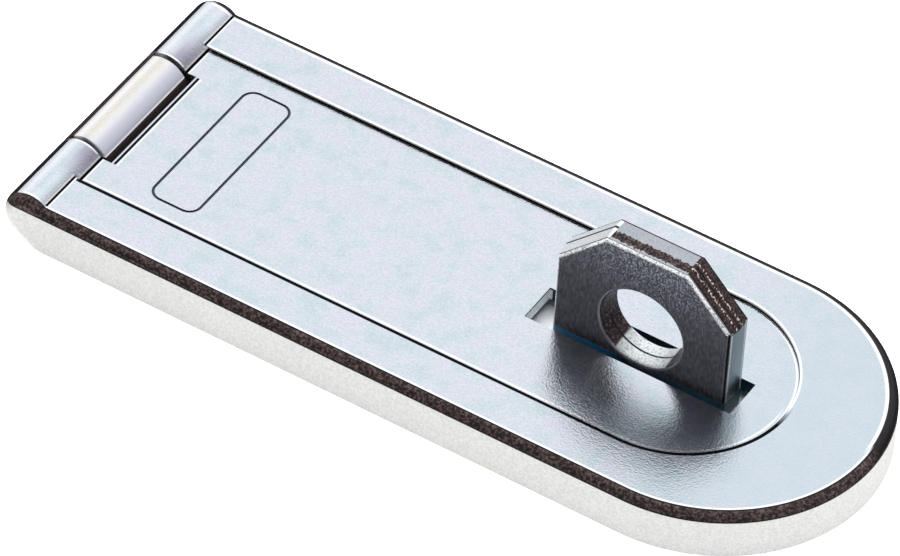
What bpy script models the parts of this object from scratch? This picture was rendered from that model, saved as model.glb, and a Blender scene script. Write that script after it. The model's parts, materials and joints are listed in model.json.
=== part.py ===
# Armoured hasp, closed, lying on its mounting surface.
# Metres, +Z up. +X runs from the hinge to the round end, and the origin is on the mounting surface,
# under the middle of the hasp.
from math import acos, atan2, cos, hypot, pi, radians, sin, sqrt

import bmesh
import bpy

# Leaf: a pressed tray with a round end, whose rim stands around a slightly sunk panel.
hasp_length = 0.1200
leaf_width = 0.0478
leaf_height = 0.0074
leaf_sheet = 0.0020
leaf_edge_radius = 0.0015
panel_depth = 0.0006
panel_side_rim = 0.0083
panel_tip_rim = 0.0138

# Hinge: two corner knuckles on the leaf, one rolled knuckle on the base plate and a hidden pin.
hinge_height = 0.0045
knuckle_radius = 0.0038
middle_knuckle_width = 0.0192
knuckle_gap = 0.0006
notch_gap = 0.0008
notch_edge_bevel = 0.0005
pin_diameter = 0.0030
pin_clearance = 0.0003
pin_seat_depth = 0.0005

# Base plate under the hinge half.
base_plate_thickness = 0.0020
plate_spacing = 0.0115
plate_side_clearance = 0.0015
base_plate_setback = 0.0027
roll_end_angle = radians(-20)
ramp_run = 0.0050

# Staple plate under the round end.
staple_plate_thickness = 0.0035
staple_plate_lead = 0.0105

# Staple: a flat plate with chamfered shoulders and a padlock hole, on two riveted tenons.
staple_from_tip = 0.0346
staple_width = 0.0265
staple_thickness = 0.0043
staple_top = 0.0261
staple_chamfer = 0.0070
staple_edge_bevel = 0.0003
staple_break_taper = 0.0002
shackle_hole = 0.0120
shackle_hole_height = 0.0129
tenon_width = 0.0060
tenon_spacing = 0.0130
tenon_recess = 0.0002

# Slot in the leaf. Its far end clears the staple's shoulder when the leaf swings.
slot_side_clearance = 0.0011
slot_near_clearance = 0.0034
swing_clearance = 0.0004

# Countersunk screw holes.
screw_hole = 0.0050
screw_head = 0.0092
base_screw_inset = 0.0085
staple_screw_inset = 0.0065
screw_edge_distance = 0.0075

seat_gap = 0.0003
overshoot = 0.0010
round_steps = 48
edge_steps = 4

# Places that follow from the sizes.
hinge_x = knuckle_radius - hasp_length / 2
hinge_center = (hinge_x, hinge_height)
half_width = leaf_width / 2
tip_centre_x = hasp_length / 2 - half_width
inner_half_width = half_width - leaf_sheet
panel_half_width = half_width - panel_side_rim
panel_centre_x = hasp_length / 2 - panel_tip_rim - panel_half_width
panel_top = leaf_height - panel_depth
plate_half_width = inner_half_width - plate_side_clearance
base_plate_start = hinge_x + knuckle_radius + base_plate_setback
staple_x = hasp_length / 2 - staple_from_tip
staple_shoulder = staple_top - staple_chamfer
staple_seat = staple_plate_thickness + seat_gap
staple_plate_start = staple_x - staple_width / 2 - staple_plate_lead
base_plate_end = staple_plate_start - plate_spacing
staple_reach = hypot(staple_x + staple_width / 2 - hinge_x, staple_shoulder - hinge_height)
slot_start = staple_x - staple_width / 2 - slot_near_clearance
slot_end = hinge_x + staple_reach + swing_clearance
slot_width = staple_thickness + 2 * slot_side_clearance
notch_half_width = middle_knuckle_width / 2 + knuckle_gap
notch_reach = knuckle_radius + notch_gap


def clear_scene():
    for thing in list(bpy.data.objects):
        bpy.data.objects.remove(thing, do_unlink=True)


def make_collection(name):
    collection = bpy.data.collections.new(name)
    bpy.context.scene.collection.children.link(collection)
    return collection


def metal(name, color, roughness):
    material = bpy.data.materials.new(name)
    material.use_nodes = True
    shader = material.node_tree.nodes["Principled BSDF"]
    shader.inputs["Base Color"].default_value = (*color, 1.0)
    shader.inputs["Roughness"].default_value = roughness
    shader.inputs["Metallic"].default_value = 1.0
    return material


def add_part(name, mesh, material):
    part = bpy.data.objects.new(name, mesh)
    parts.objects.link(part)
    mesh.materials.clear()
    mesh.materials.append(material)
    mesh.set_sharp_from_angle(angle=radians(30))
    return part


def add_cutter(name, mesh):
    cutter = bpy.data.objects.new(name, mesh)
    cutters.objects.link(cutter)
    cutter.hide_render = True
    cutter.display_type = "WIRE"
    return cutter


def combine(part, operation, other):
    modifier = part.modifiers.new(other.name, "BOOLEAN")
    modifier.operation = operation
    modifier.object = other
    return modifier


def fix_shape(part):
    """Applies the part's modifiers and merges the faces that lie in one plane."""
    bpy.context.view_layer.update()
    graph = bpy.context.evaluated_depsgraph_get()
    mesh = bpy.data.meshes.new_from_object(part.evaluated_get(graph))
    part.modifiers.clear()
    shape = bmesh.new()
    shape.from_mesh(mesh)
    bmesh.ops.remove_doubles(shape, verts=shape.verts, dist=1e-6)
    bmesh.ops.dissolve_limit(shape, angle_limit=radians(0.1), verts=shape.verts, edges=shape.edges)
    shape.to_mesh(mesh)
    shape.free()
    part.data = mesh


def arc(center, radius, start, end, steps=round_steps):
    """Points on a circle from one angle to the other, both ends included."""
    turns = [start + (end - start) * step / steps for step in range(steps + 1)]
    return [(center[0] + radius * cos(turn), center[1] + radius * sin(turn)) for turn in turns]


def prism(name, outline, low, high, upright=False):
    """A closed outline extruded from low to high, along Z, or along Y for an upright outline in X and Z."""
    curve = bpy.data.curves.new(name, "CURVE")
    curve.dimensions = "2D"
    curve.fill_mode = "BOTH"
    curve.extrude = (high - low) / 2
    spline = curve.splines.new("POLY")
    spline.points.add(len(outline) - 1)
    for point, (across, along) in zip(spline.points, outline):
        point.co = (across, along, 0.0, 1.0)
    spline.use_cyclic_u = True
    holder = bpy.data.objects.new(name, curve)
    cutters.objects.link(holder)
    bpy.context.view_layer.update()
    graph = bpy.context.evaluated_depsgraph_get()
    mesh = bpy.data.meshes.new_from_object(holder.evaluated_get(graph))
    bpy.data.objects.remove(holder)
    bpy.data.curves.remove(curve)
    middle = (low + high) / 2
    shape = bmesh.new()
    shape.from_mesh(mesh)
    bmesh.ops.remove_doubles(shape, verts=shape.verts, dist=1e-6)
    bmesh.ops.dissolve_limit(shape, angle_limit=radians(0.1), verts=shape.verts, edges=shape.edges)
    for vert in shape.verts:
        across, along, depth = vert.co
        vert.co = (across, depth + middle, along) if upright else (across, along, depth + middle)
    bmesh.ops.recalc_face_normals(shape, faces=shape.faces)
    if shape.calc_volume(signed=True) < 0:
        bmesh.ops.reverse_faces(shape, faces=shape.faces)
    shape.to_mesh(mesh)
    shape.free()
    return mesh


def cylinder(radius, low, high, steps=round_steps):
    """A cylinder along Y, about the Y axis."""
    return prism("cylinder", arc((0, 0), radius, 0, 2 * pi, steps)[:-1], low, high, upright=True)


def tongue(start_x, center_x, half):
    """Outline with a square end at start_x and a round end about center_x."""
    return [(start_x, half), (start_x, -half), *arc((center_x, 0), half, -pi / 2, pi / 2)]


def round_edges(part, width, chosen):
    """Bevels the edges that the chosen test picks from an edge's two ends."""
    mesh = part.data
    weights = mesh.attributes.new("bevel_weight_edge", "FLOAT", "EDGE")
    for edge in mesh.edges:
        ends = [mesh.vertices[index].co for index in edge.vertices]
        weights.data[edge.index].value = float(chosen(*ends))
    modifier = part.modifiers.new("rounded edge", "BEVEL")
    modifier.limit_method = "WEIGHT"
    modifier.width = width
    modifier.segments = edge_steps
    modifier.use_clamp_overlap = False
    return modifier


def tangent_angle(point, center, radius):
    """Angle of the lower tangent point on a circle, seen from a point to its right."""
    across = point[0] - center[0]
    up = point[1] - center[1]
    return atan2(up, across) - acos(radius / hypot(across, up))


def screw_cutter(name, x, y, thickness):
    """A clearance hole whose countersink is open at the plate's upper face."""
    flare = (screw_head - screw_hole) / 2
    profile = [
        (0.0, thickness + overshoot),
        (screw_head / 2 + overshoot, thickness + overshoot),
        (screw_hole / 2, thickness - flare),
        (screw_hole / 2, -overshoot),
        (0.0, -overshoot),
    ]
    shape = bmesh.new()
    verts = [shape.verts.new((radius, 0.0, height)) for radius, height in profile]
    for first, second in zip(verts, verts[1:]):
        shape.edges.new((first, second))
    mesh = bpy.data.meshes.new(name)
    shape.to_mesh(mesh)
    shape.free()
    cutter = add_cutter(name, mesh)
    cutter.location = (x, y, 0.0)
    screw = cutter.modifiers.new("turned", "SCREW")
    screw.steps = 24
    screw.render_steps = 24
    screw.use_merge_vertices = True
    screw.merge_threshold = 1e-5
    return cutter


def drill(plate, x_places, thickness):
    across = plate_half_width - screw_edge_distance
    for x in x_places:
        for y in (-across, across):
            combine(plate, "DIFFERENCE", screw_cutter("screw hole", x, y, thickness))


def chin_angle():
    """Where the knuckle's circle leads down to the floor under its axis, which it clears as the leaf turns."""
    return tangent_angle((hinge_x, 0.0), hinge_center, knuckle_radius)


def make_shell(material):
    """The leaf's outer form: a block with a round end and the knuckles' bar, rounded along the whole rim."""
    outer = tongue(hinge_x + knuckle_radius / 2, tip_centre_x, half_width)
    leaf = add_part("hasp_leaf", prism("leaf", outer, 0.0, leaf_height), material)
    outline = [
        (hinge_x + knuckle_radius, 0.0),
        (hinge_x, 0.0),
        *arc(hinge_center, knuckle_radius, chin_angle(), -2 * pi),
    ]
    bar = prism("hinge end", outline, -half_width, half_width, upright=True)
    combine(leaf, "UNION", add_cutter("hinge end", bar))
    fix_shape(leaf)

    def outside(point):
        return hypot(max(point.x - tip_centre_x, 0.0), point.y) > half_width - 1e-5

    def on_rim(first, second):
        on_floor = max(first.z, second.z) < 1e-6
        full_height = abs(first.z - second.z) > leaf_height / 2
        across = abs(first.y - second.y) > half_width
        return outside(first) and outside(second) and not (on_floor or full_height or across)

    round_edges(leaf, leaf_edge_radius, on_rim)
    return leaf


def hollow_knuckles(leaf):
    """Opens the space below the corner knuckles, between the cheeks that close them."""
    under = [
        (hinge_x + knuckle_radius + overshoot, -overshoot),
        (hinge_x + knuckle_radius + overshoot, hinge_height),
        *arc(hinge_center, knuckle_radius, 0.0, chin_angle()),
        (hinge_x - knuckle_radius, -overshoot),
    ]
    hollow = prism("under knuckles", under, -inner_half_width, inner_half_width, upright=True)
    combine(leaf, "DIFFERENCE", add_cutter("under knuckles", hollow))


def make_leaf(material):
    leaf = make_shell(material)
    cavity = tongue(hinge_x + knuckle_radius, tip_centre_x, inner_half_width)
    hollow = prism("cavity", cavity, -overshoot, leaf_height - leaf_sheet)
    combine(leaf, "DIFFERENCE", add_cutter("cavity", hollow))
    hollow_knuckles(leaf)
    sunk = tongue(hinge_x + knuckle_radius / 2, panel_centre_x, panel_half_width)
    underside = prism("panel underside", sunk, panel_top - leaf_sheet, panel_top - leaf_sheet / 2)
    combine(leaf, "UNION", add_cutter("panel underside", underside))
    recess = tongue(hinge_x - overshoot, panel_centre_x, panel_half_width)
    sinking = prism("panel recess", recess, panel_top, leaf_height + overshoot)
    combine(leaf, "DIFFERENCE", add_cutter("panel recess", sinking))
    cut_notch(leaf)
    cut_slot(leaf)
    bore_end = inner_half_width + pin_seat_depth
    cutter = add_cutter("pin bore", cylinder(pin_diameter / 2 + pin_clearance, -bore_end, bore_end))
    cutter.location = (hinge_x, 0.0, hinge_height)
    combine(leaf, "DIFFERENCE", cutter)
    return leaf


def cut_notch(leaf):
    """Room for the middle knuckle, with the sheet's upper edge eased."""
    left = hinge_x - knuckle_radius - overshoot
    right = hinge_x + notch_reach
    outline = [
        (left, -overshoot),
        (right, -overshoot),
        (right, panel_top - notch_edge_bevel),
        (right + notch_edge_bevel + overshoot, panel_top + overshoot),
        (left, hinge_height + knuckle_radius + overshoot),
    ]
    notch = prism("notch", outline, -notch_half_width, notch_half_width, upright=True)
    combine(leaf, "DIFFERENCE", add_cutter("notch", notch))


def cut_slot(leaf):
    side = slot_width / 2
    outline = [(slot_start, -side), (slot_end, -side), (slot_end, side), (slot_start, side)]
    slot = prism("slot", outline, -overshoot, leaf_height + overshoot)
    combine(leaf, "DIFFERENCE", add_cutter("slot", slot))


def make_pin(material):
    half = inner_half_width + pin_seat_depth - pin_clearance
    pin = add_part("hinge_pin", cylinder(pin_diameter / 2, -half, half, 24), material)
    pin.location = (hinge_x, 0.0, hinge_height)
    return pin


def make_base_plate(material):
    outline = [
        (base_plate_start, -plate_half_width),
        (base_plate_end, -plate_half_width),
        (base_plate_end, plate_half_width),
        (base_plate_start, plate_half_width),
    ]
    plate = add_part("base_plate", prism("base plate", outline, 0.0, base_plate_thickness), material)
    combine(plate, "UNION", make_rolled_tongue())
    places = (base_plate_start + base_screw_inset, base_plate_end - base_screw_inset)
    drill(plate, places, base_plate_thickness)
    return plate


def make_rolled_tongue():
    """The strap that leaves the base plate, climbs a little and rolls over the pin."""
    inner_radius = knuckle_radius - base_plate_thickness
    ramp_x = hinge_x + ramp_run
    lower = tangent_angle((ramp_x, 0.0), hinge_center, knuckle_radius)
    upper = tangent_angle((ramp_x, base_plate_thickness), hinge_center, inner_radius)
    root_x = base_plate_start + base_plate_thickness
    outline = [
        (root_x, 0.0),
        (ramp_x, 0.0),
        *arc(hinge_center, knuckle_radius, lower, roll_end_angle - 2 * pi),
        *arc(hinge_center, inner_radius, roll_end_angle - 2 * pi, upper),
        (ramp_x, base_plate_thickness),
        (root_x, base_plate_thickness),
    ]
    half = middle_knuckle_width / 2
    return add_cutter("rolled tongue", prism("rolled tongue", outline, -half, half, upright=True))


def tenon_places():
    return (staple_x - tenon_spacing / 2, staple_x + tenon_spacing / 2)


def make_staple_plate(material):
    outline = tongue(staple_plate_start, tip_centre_x, plate_half_width)
    plate = add_part("staple_plate", prism("staple plate", outline, 0.0, staple_plate_thickness), material)
    across = tenon_width / 2 + seat_gap
    side = staple_thickness / 2 + seat_gap
    for middle in tenon_places():
        mortise = [
            (middle - across, -side),
            (middle + across, -side),
            (middle + across, side),
            (middle - across, side),
        ]
        opening = prism("mortise", mortise, -overshoot, staple_plate_thickness + overshoot)
        combine(plate, "DIFFERENCE", add_cutter("mortise", opening))
    places = (staple_plate_start + staple_screw_inset, staple_x + staple_width / 2 + staple_screw_inset)
    drill(plate, places, staple_plate_thickness)
    return plate


def staple_outline(inset):
    """The staple's outline in X and Z, moved inwards by the inset except at its foot."""
    half = staple_width / 2 - inset
    top = staple_top - inset
    chamfer = staple_chamfer - inset * (2 - sqrt(2))
    return [
        (staple_x - half, staple_seat),
        (staple_x - half, top - chamfer),
        (staple_x - half + chamfer, top),
        (staple_x + half - chamfer, top),
        (staple_x + half, top - chamfer),
        (staple_x + half, staple_seat),
    ]


def taper_front(mesh, outline, narrowed):
    """Draws an upright prism's front half to another outline, as a punch leaves it."""
    shape = bmesh.new()
    shape.from_mesh(mesh)
    everything = [*shape.verts, *shape.edges, *shape.faces]
    bmesh.ops.bisect_plane(shape, geom=everything, dist=1e-7, plane_co=(0, 0, 0), plane_no=(0, 1, 0))
    front = min(vert.co.y for vert in shape.verts)
    for vert in shape.verts:
        if vert.co.y > front + 1e-6:
            continue
        gaps = [hypot(vert.co.x - across, vert.co.z - along) for across, along in outline]
        vert.co.x, vert.co.z = narrowed[gaps.index(min(gaps))]
    shape.to_mesh(mesh)
    shape.free()
    return mesh


def make_staple(material):
    side = staple_thickness / 2
    full = staple_outline(0.0)
    blank = prism("staple", full, -side, side, upright=True)
    staple = add_part("staple", taper_front(blank, full, staple_outline(staple_break_taper)), material)
    for middle in tenon_places():
        tenon = [
            (middle - tenon_width / 2, tenon_recess),
            (middle + tenon_width / 2, tenon_recess),
            (middle + tenon_width / 2, staple_seat + overshoot),
            (middle - tenon_width / 2, staple_seat + overshoot),
        ]
        combine(staple, "UNION", add_cutter("tenon", prism("tenon", tenon, -side, side, upright=True)))
    hole_rim = arc((0, 0), shackle_hole / 2, 0, 2 * pi)[:-1]
    flare = staple_break_taper * (side + overshoot) / side
    flared_rim = arc((0, 0), shackle_hole / 2 + flare, 0, 2 * pi)[:-1]
    punch = prism("shackle hole", hole_rim, -side - overshoot, side + overshoot, upright=True)
    hole = add_cutter("shackle hole", taper_front(punch, hole_rim, flared_rim))
    hole.location = (staple_x, 0.0, shackle_hole_height)
    combine(staple, "DIFFERENCE", hole)
    eased = staple.modifiers.new("eased edges", "BEVEL")
    eased.limit_method = "ANGLE"
    eased.angle_limit = radians(35)
    eased.width = staple_edge_bevel
    eased.segments = 2
    return staple


clear_scene()
parts = make_collection("armoured_hasp")
cutters = make_collection("cutters")
zinc = metal("zinc plated steel", (0.62, 0.67, 0.71), 0.35)
plain_zinc = metal("plain zinc plated steel", (0.55, 0.57, 0.58), 0.45)
hardened = metal("zinc on hardened steel", (0.42, 0.43, 0.46), 0.4)
make_leaf(zinc)
make_pin(plain_zinc)
make_base_plate(plain_zinc)
make_staple_plate(plain_zinc)
make_staple(hardened)
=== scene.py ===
import json
from math import acos, atan2, cos, degrees, hypot, pi, radians, sin, sqrt

import bpy
from mathutils import Matrix, Vector


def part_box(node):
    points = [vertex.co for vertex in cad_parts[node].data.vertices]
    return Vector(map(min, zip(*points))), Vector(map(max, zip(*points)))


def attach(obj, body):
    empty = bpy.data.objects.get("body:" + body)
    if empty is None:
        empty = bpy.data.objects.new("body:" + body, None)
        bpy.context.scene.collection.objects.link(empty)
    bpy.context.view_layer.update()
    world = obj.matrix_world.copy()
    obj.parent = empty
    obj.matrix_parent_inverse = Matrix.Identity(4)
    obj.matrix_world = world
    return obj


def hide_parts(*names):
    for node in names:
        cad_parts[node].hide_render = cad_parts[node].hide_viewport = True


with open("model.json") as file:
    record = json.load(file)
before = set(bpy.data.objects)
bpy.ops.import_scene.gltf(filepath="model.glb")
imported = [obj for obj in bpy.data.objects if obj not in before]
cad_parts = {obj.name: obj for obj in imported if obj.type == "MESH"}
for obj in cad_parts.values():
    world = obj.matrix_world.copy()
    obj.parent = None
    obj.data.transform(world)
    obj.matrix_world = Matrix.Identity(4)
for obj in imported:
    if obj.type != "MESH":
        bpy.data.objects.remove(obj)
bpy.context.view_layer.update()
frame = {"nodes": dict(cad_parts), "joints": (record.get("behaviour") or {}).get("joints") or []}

mm = 0.001
close = 1e-6  # metres, nearer than this counts as the same place
nearCurve = 1e-5  # metres, for points on a curve that is made of straight steps
smoothAngle = 32  # degrees, flatter edges than this are shaded as round

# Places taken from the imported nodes, in metres.
leafLow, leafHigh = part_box("hasp_leaf")
stapleLow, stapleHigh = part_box("staple")
baseLow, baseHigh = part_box("base_plate")
hinge = Vector(frame["joints"][0]["pos_m"])


def focusOn(piece):
    if bpy.context.mode != "OBJECT":
        bpy.ops.object.mode_set(mode="OBJECT")
    bpy.ops.object.select_all(action="DESELECT")
    bpy.context.view_layer.objects.active = piece
    piece.select_set(True)


# Leaves the piece in edit mode with what the test picks selected; kind is VERT, EDGE or FACE.
def pick(piece, kind, test):
    focusOn(piece)
    mesh = piece.data
    for group in (mesh.vertices, mesh.edges, mesh.polygons):
        group.foreach_set("select", [False] * len(group))
    if kind == "VERT":
        for vert in mesh.vertices:
            vert.select = bool(test(vert.co))
    elif kind == "EDGE":
        for edge in mesh.edges:
            edge.select = bool(test(*(mesh.vertices[i].co for i in edge.vertices)))
    else:
        for face in mesh.polygons:
            face.select = bool(test(face.center, face.normal))
    bpy.context.tool_settings.mesh_select_mode = (kind == "VERT", kind == "EDGE", kind == "FACE")
    bpy.ops.object.mode_set(mode="EDIT")


# Rounds every place to a tenth of a micron, so that faces meant to lie together do.
def settle(piece):
    spots = [0.0] * (3 * len(piece.data.vertices))
    piece.data.vertices.foreach_get("co", spots)
    piece.data.vertices.foreach_set("co", [round(spot * 1e7) / 1e7 for spot in spots])
    piece.data.update()


def closeUp(piece):
    focusOn(piece)
    bpy.ops.object.mode_set(mode="EDIT")
    bpy.ops.mesh.select_all(action="SELECT")
    bpy.ops.mesh.remove_doubles(threshold=2e-6)
    bpy.ops.mesh.dissolve_limited(angle_limit=radians(0.2))
    bpy.ops.mesh.normals_make_consistent(inside=False)
    bpy.ops.object.mode_set(mode="OBJECT")
    settle(piece)
    return piece


def roundOff(piece, width, segments, test):
    pick(piece, "EDGE", test)
    bpy.ops.mesh.bevel(offset=width, segments=segments, affect="EDGES", clamp_overlap=False)
    bpy.ops.object.mode_set(mode="OBJECT")
    settle(piece)


def combine(piece, operation, other):
    settle(other)
    focusOn(piece)
    join = piece.modifiers.new("combine", "BOOLEAN")
    join.operation = operation
    join.solver = "EXACT"
    join.object = other
    bpy.ops.object.modifier_apply(modifier=join.name)
    bpy.data.objects.remove(other, do_unlink=True)
    return piece


def newBox(name, low, high):
    bpy.ops.object.select_all(action="DESELECT")
    centre = [(a + b) / 2 for a, b in zip(low, high)]
    size = [b - a for a, b in zip(low, high)]
    bpy.ops.mesh.primitive_cube_add(size=1.0, location=centre, scale=size)
    box = bpy.context.object
    box.name = name
    bpy.ops.object.transform_apply(location=True, rotation=True, scale=True)
    return box


# A bar about an axis along Y.
def newBar(name, x, z, radius, halfLength, steps):
    bpy.ops.object.select_all(action="DESELECT")
    bpy.ops.mesh.primitive_cylinder_add(
        vertices=steps, radius=radius, depth=2 * halfLength, location=(x, 0, z), rotation=(pi / 2, 0, 0)
    )
    bar = bpy.context.object
    bar.name = name
    bpy.ops.object.transform_apply(location=True, rotation=True, scale=True)
    return bar


# A flat block with a square end at startX and a round end about centreX.
def newTongue(name, startX, centreX, halfWidth, low, high):
    bpy.ops.object.select_all(action="DESELECT")
    bpy.ops.mesh.primitive_circle_add(
        vertices=240, radius=halfWidth, fill_type="NGON", location=(centreX, 0, low)
    )
    tongue = bpy.context.object
    tongue.name = name
    bpy.ops.object.transform_apply(location=True, rotation=True, scale=True)
    bpy.ops.object.mode_set(mode="EDIT")
    bpy.ops.mesh.select_all(action="SELECT")
    bpy.ops.mesh.bisect(plane_co=(centreX, 0, low), plane_no=(1, 0, 0), clear_inner=True, threshold=close)
    pick(tongue, "EDGE", lambda a, b: max(a.x, b.x) < centreX + close)
    bpy.ops.mesh.extrude_edges_move(TRANSFORM_OT_translate={"value": (startX - centreX, 0, 0)})
    bpy.ops.mesh.select_all(action="SELECT")
    bpy.ops.mesh.extrude_region_move(TRANSFORM_OT_translate={"value": (0, 0, high - low)})
    return closeUp(tongue)


def finishSurface(piece):
    focusOn(piece)
    bpy.ops.object.shade_smooth_by_angle(angle=radians(smoothAngle))
    weighted = piece.modifiers.new("even flats", "WEIGHTED_NORMAL")
    weighted.keep_sharp = True
    weighted.weight = 80
    bpy.ops.object.modifier_apply(modifier=weighted.name)


# An sRGB hex colour as linear numbers.
def linear(code):
    parts = [int(code[i : i + 2], 16) / 255 for i in (1, 3, 5)]
    return [p / 12.92 if p <= 0.04045 else ((p + 0.055) / 1.055) ** 2.4 for p in parts] + [1.0]


# Inputs take values, sockets, or nodes, of which the first output is meant.
def feed(tree, node, inputs):
    for name, value in inputs.items():
        if isinstance(value, bpy.types.Node):
            value = value.outputs[0]
        if isinstance(value, bpy.types.NodeSocket):
            tree.links.new(value, node.inputs[name])
        else:
            node.inputs[name].default_value = value


# Adds a node with its settings and inputs, and a colour ramp's stops, each a place and a colour.
def addNode(tree, kind, inputs=None, stops=(), **settings):
    node = tree.nodes.new("ShaderNode" + kind)
    for name, value in settings.items():
        setattr(node, name, value)
    feed(tree, node, inputs or {})
    for place, code in stops[1:-1]:
        node.color_ramp.elements.new(place)
    if stops:
        for element, (place, code) in zip(node.color_ramp.elements, stops):
            element.position = place
            element.color = linear(code)
    return node


def newMaterial(name):
    material = bpy.data.materials.new(name)
    material.use_nodes = True
    tree = material.node_tree
    tree.nodes.clear()
    shader = addNode(tree, "BsdfPrincipled")
    addNode(tree, "OutputMaterial", {"Surface": shader})
    place = addNode(tree, "TexCoord").outputs["Object"]
    return material, tree, shader, place


# 1 inside a span, 0 outside it. A span is its start, its end and its fade beyond them, in mm. It is
# measured from an origin in metres, or from a pair of them, one for the start and one for the end.
def stripe(tree, value, origin, span):
    first, last = origin if isinstance(origin, tuple) else (origin, origin)
    low, high, soft = first + span[0] * mm, last + span[1] * mm, span[2] * mm
    rise = addNode(tree, "MapRange", {"Value": value, "From Min": low - soft, "From Max": low})
    fall = addNode(tree, "MapRange", {"Value": value, "From Min": high + soft, "From Max": high})
    return addNode(tree, "Math", {0: rise, 1: fall}, operation="MULTIPLY")


noiseLow, noiseHigh = 0.3, 0.7  # most of a noise texture's values lie between these


# Clouded, grained zinc under layers. A layer is its masks, its paint and, where the paint has stops, the
# pattern that picks from them. A paint is a colour or stops, a metallic value and a roughness.
def layZinc(tree, shader, place, f, layers):
    clouds = addNode(tree, "TexNoise", {"Vector": place, "Scale": 1 / (f["cloud"] * mm), "Detail": 4.0})
    tint = addNode(tree, "ValToRGB", {"Fac": clouds}, stops=f["clouds"])
    drawn = addNode(tree, "VectorMath", {0: place, 1: f["stretch"]}, operation="MULTIPLY")
    grain = addNode(
        tree, "TexNoise", {"Vector": drawn, "Scale": 1 / (f["grain"] * mm), "Detail": 2.0, "Roughness": 0.6}
    )
    spread = {"Value": grain, "From Min": noiseLow, "From Max": noiseHigh}
    shade = addNode(tree, "MapRange", {**spread, "To Min": f["shade"], "To Max": 1.0})
    color = addNode(tree, "VectorMath", {0: tint, "Scale": shade}, operation="SCALE")
    smooth, dull = f["roughness"]
    rough = addNode(tree, "MapRange", {**spread, "To Min": smooth, "To Max": dull})
    metal = f["metallic"]
    for masks, (paint, metallic, roughness), *pattern in layers:
        factor = masks[0]
        for mask in masks[1:]:
            factor = addNode(tree, "Math", {0: factor, 1: mask}, operation="MULTIPLY")
        if pattern:
            paint = addNode(tree, "ValToRGB", {"Fac": pattern[0]}, stops=paint)
        else:
            paint = linear(paint)
        color = addNode(tree, "Mix", {"Factor": factor, 6: color, 7: paint}, data_type="RGBA").outputs[2]
        metal = addNode(tree, "Mix", {"Factor": factor, 2: metal, 3: metallic})
        rough = addNode(tree, "Mix", {"Factor": factor, 2: rough, 3: roughness})
    strength, depth = f["bump"]
    bump = addNode(tree, "Bump", {"Height": grain, "Strength": strength, "Distance": depth * mm})
    feed(tree, shader, {"Base Color": color, "Metallic": metal, "Roughness": rough, "Normal": bump})


leaf = {
    "halfWidth": leafHigh.y,
    "height": 7.4 * mm,
    "sheet": 2.0 * mm,
    "edgeRadius": 1.5 * mm,
    "cornerRadius": 0.8 * mm,  # inside the folded edge
    "hollowEnd": 0.9 * mm,  # how far past the knuckles their underside is hollowed
    "hollowGap": 0.02 * mm,
    "undersideRound": 0.3 * mm,
    "panelDepth": 0.6 * mm,
    "panelSideRim": 8.3 * mm,
    "panelTipRim": 13.8 * mm,
    "stepRound": 0.2 * mm,  # where the rim turns down to the panel
    "stepFillet": 0.1 * mm,
    "knuckleRadius": hinge.x - leafLow.x,
    "pinBore": 1.8 * mm,
    "boreInWall": 0.5 * mm,  # how far the bore goes into the side walls
    "notchHalfWidth": 10.2 * mm,
    "notchReach": 4.6 * mm,
    "notchEase": 0.45 * mm,
    "slotStart": 8.75 * mm,
    "slotEnd": 40.17 * mm,
    "slotWidth": 6.5 * mm,
    "rimSeamRadius": 0.136 * mm,  # the fold lines beside the corner knuckles
    "panelSeamRadius": 0.17 * mm,
    "borderCentre": -40.8 * mm,
    "borderSize": (7.6 * mm, 25.0 * mm),
    "borderCorner": 2.0 * mm,
    "borderLine": 0.4 * mm,
    "borderDepth": 0.15 * mm,
}


def panelShape(d):
    panelHalf = d["halfWidth"] - d["panelSideRim"]
    return panelHalf, leafHigh.x - d["panelTipRim"] - panelHalf, d["height"] - d["panelDepth"]


# Where the corner knuckles' round surface meets a level of the leaf.
def seamAt(d, level):
    return hinge.x + sqrt(d["knuckleRadius"] ** 2 - (level - hinge.z) ** 2)


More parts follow.
